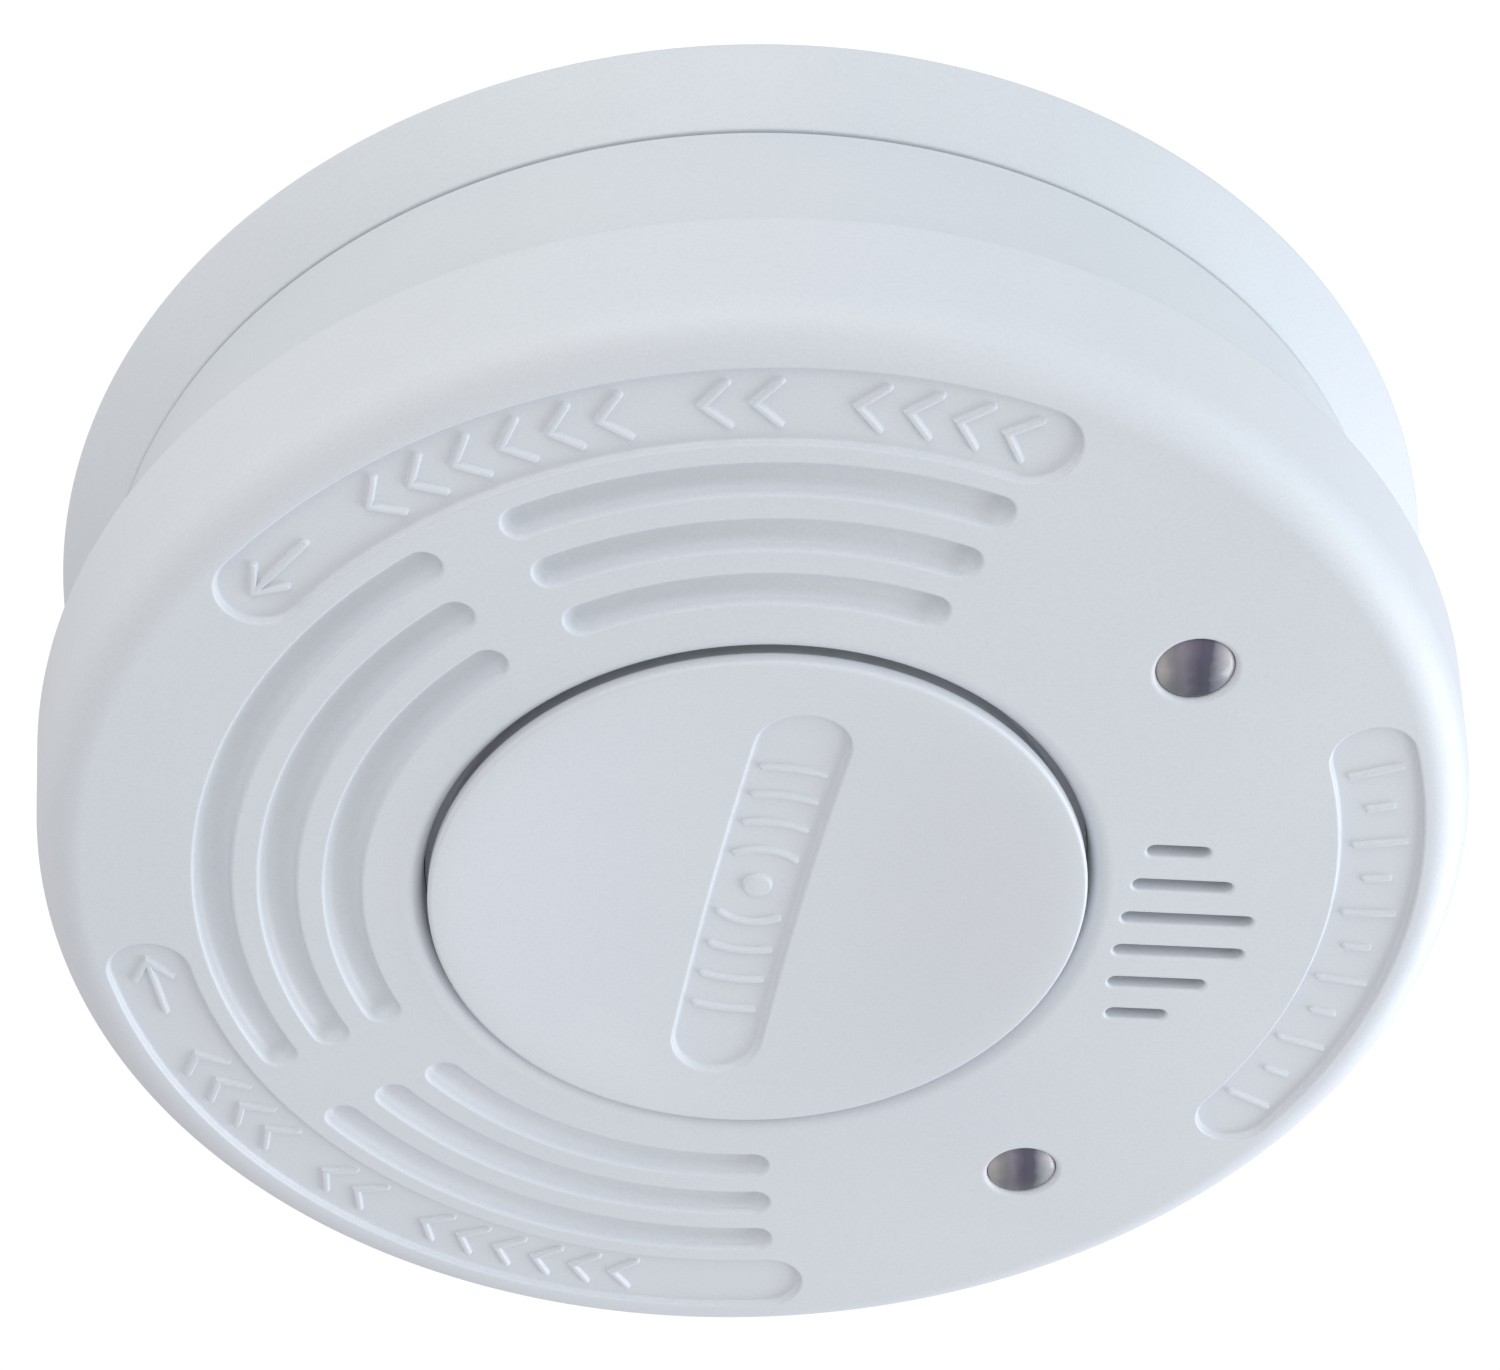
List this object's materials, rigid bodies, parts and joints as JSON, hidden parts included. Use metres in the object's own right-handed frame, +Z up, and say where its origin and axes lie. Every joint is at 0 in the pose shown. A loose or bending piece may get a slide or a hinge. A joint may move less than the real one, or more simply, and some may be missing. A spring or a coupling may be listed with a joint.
{
  "type": "smoke detector",
  "caption": "Round white ceiling smoke detector head with a test button, sounder slots and lamps, on a twist-off mounting plate.",
  "frame": {"origin": "centre of the mounting plate's ceiling face", "axes": "+Z up into the ceiling; the head hangs below with its face towards -Z; +X towards the sounder slots; a twist about -Z frees the head"},
  "size_m": [0.1014, 0.1014, 0.0289],
  "materials": {
    "white_plastic": "fine satin moulding",
    "inner_plastic": "plain moulding",
    "black_plastic": "matte",
    "board": "solder-masked laminate",
    "steel": "bright",
    "brass": "rolled",
    "ceramic": "silvered ceramic",
    "clear_lens": "clear epoxy",
    "tinted_lens": "dark epoxy",
    "cell_wrap": "shrink sleeve",
    "copper": "enamelled winding"
  },
  "bodies": {
    "base": {"mounting_plate": "white_plastic"},
    "head": {"rear_housing": "white_plastic", "front_cover": "white_plastic", "cover_screw_1": "steel", "cover_screw_2": "steel", "cover_screw_3": "steel", "circuit_board": "board", "board_screw_1": "steel", "board_screw_2": "steel", "chamber_base": "black_plastic", "chamber_labyrinth": "black_plastic", "insect_screen_left": "steel", "insect_screen_right": "steel", "ir_emitter": "clear_lens", "photodiode": "tinted_lens", "receiver_shield": "steel", "sounder_housing": "inner_plastic", "piezo_disc": "brass", "piezo_ceramic": "ceramic", "sounder_contact_1": "steel", "sounder_contact_2": "steel", "sounder_contact_3": "steel", "test_switch": "black_plastic", "button_spring": "steel", "lithium_cell": "cell_wrap", "cell_tab_plus": "steel", "cell_tab_minus": "steel", "power_switch": "black_plastic", "status_lamp": "clear_lens", "alarm_lamp": "clear_lens", "lamp_spacer_1": "black_plastic", "lamp_spacer_2": "black_plastic", "microcontroller": "black_plastic", "sounder_inductor": "copper", "capacitor": "black_plastic"},
    "button": {"test_button": "white_plastic"},
    "plunger": {"switch_plunger": "inner_plastic"},
    "pin": {"power_pin": "inner_plastic"}
  },
  "joints": [
    {"name": "head_twist", "type": "hinge", "parent": "base", "child": "head", "pos_m": [0, 0, -0.005], "axis": [0, 0, -1], "range_deg": [0, 18]},
    {"name": "button_press", "type": "slide", "parent": "head", "child": "button", "axis": [0, 0, 1], "range_m": [0, 0.0008], "stiffness_N_per_m": 300, "springref_m": -0.005, "deforming": ["button_spring"]},
    {"name": "plunger_press", "type": "slide", "parent": "head", "child": "plunger", "axis": [0, 0, 1], "range_m": [0, 0.0008]},
    {"name": "pin_rise", "type": "slide", "parent": "head", "child": "pin", "axis": [0, 0, 1], "range_m": [0, 0.0012]}
  ],
  "couplings": [
    {"joint": "plunger_press", "follows": "button_press", "ratio": 1},
    {"joint": "pin_rise", "follows": "head_twist", "m_per_rad": 0.0038197}
  ]
}
